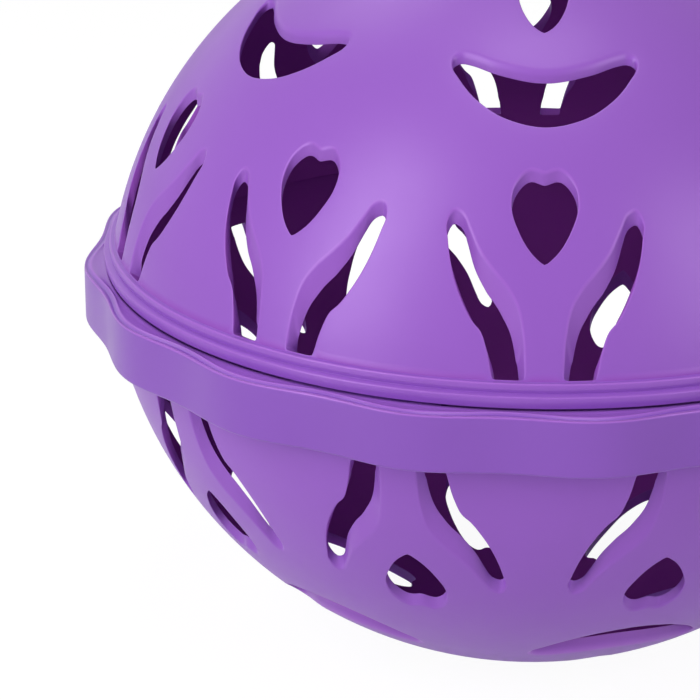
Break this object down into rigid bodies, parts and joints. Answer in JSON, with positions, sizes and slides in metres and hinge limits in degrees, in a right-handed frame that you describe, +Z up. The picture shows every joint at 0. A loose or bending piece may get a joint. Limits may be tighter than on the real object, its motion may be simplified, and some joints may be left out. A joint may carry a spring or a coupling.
{
  "type": "delicates wash ball",
  "caption": "Round washing cage for bras and other delicates: pierced upper and lower half shells in purple plastic, closed by a lobed twist ring at the seam.",
  "frame": {"origin": "centre of the flat foot at the lower shell's pole", "axes": "+Z up along the ball's axis, from the foot to the upper pole; -Y towards the front"},
  "size_m": [0.1596, 0.1596, 0.1375],
  "materials": {
    "upper_shell": "satin",
    "lower_shell": "satin",
    "locking_ring": "satin"
  },
  "bodies": {
    "lower": {"lower_shell": "lower_shell"},
    "ring": {"locking_ring": "locking_ring"},
    "upper": {"upper_shell": "upper_shell"}
  },
  "joints": [
    {"name": "ring_twist", "type": "hinge", "parent": "lower", "child": "ring", "pos_m": [0, 0, 0.0681], "axis": [0, 0, 1], "range_deg": [0, 22.5]},
    {"name": "upper_lift", "type": "slide", "parent": "lower", "child": "upper", "axis": [0, 0, 1], "range_m": [0, 0.1]}
  ]
}
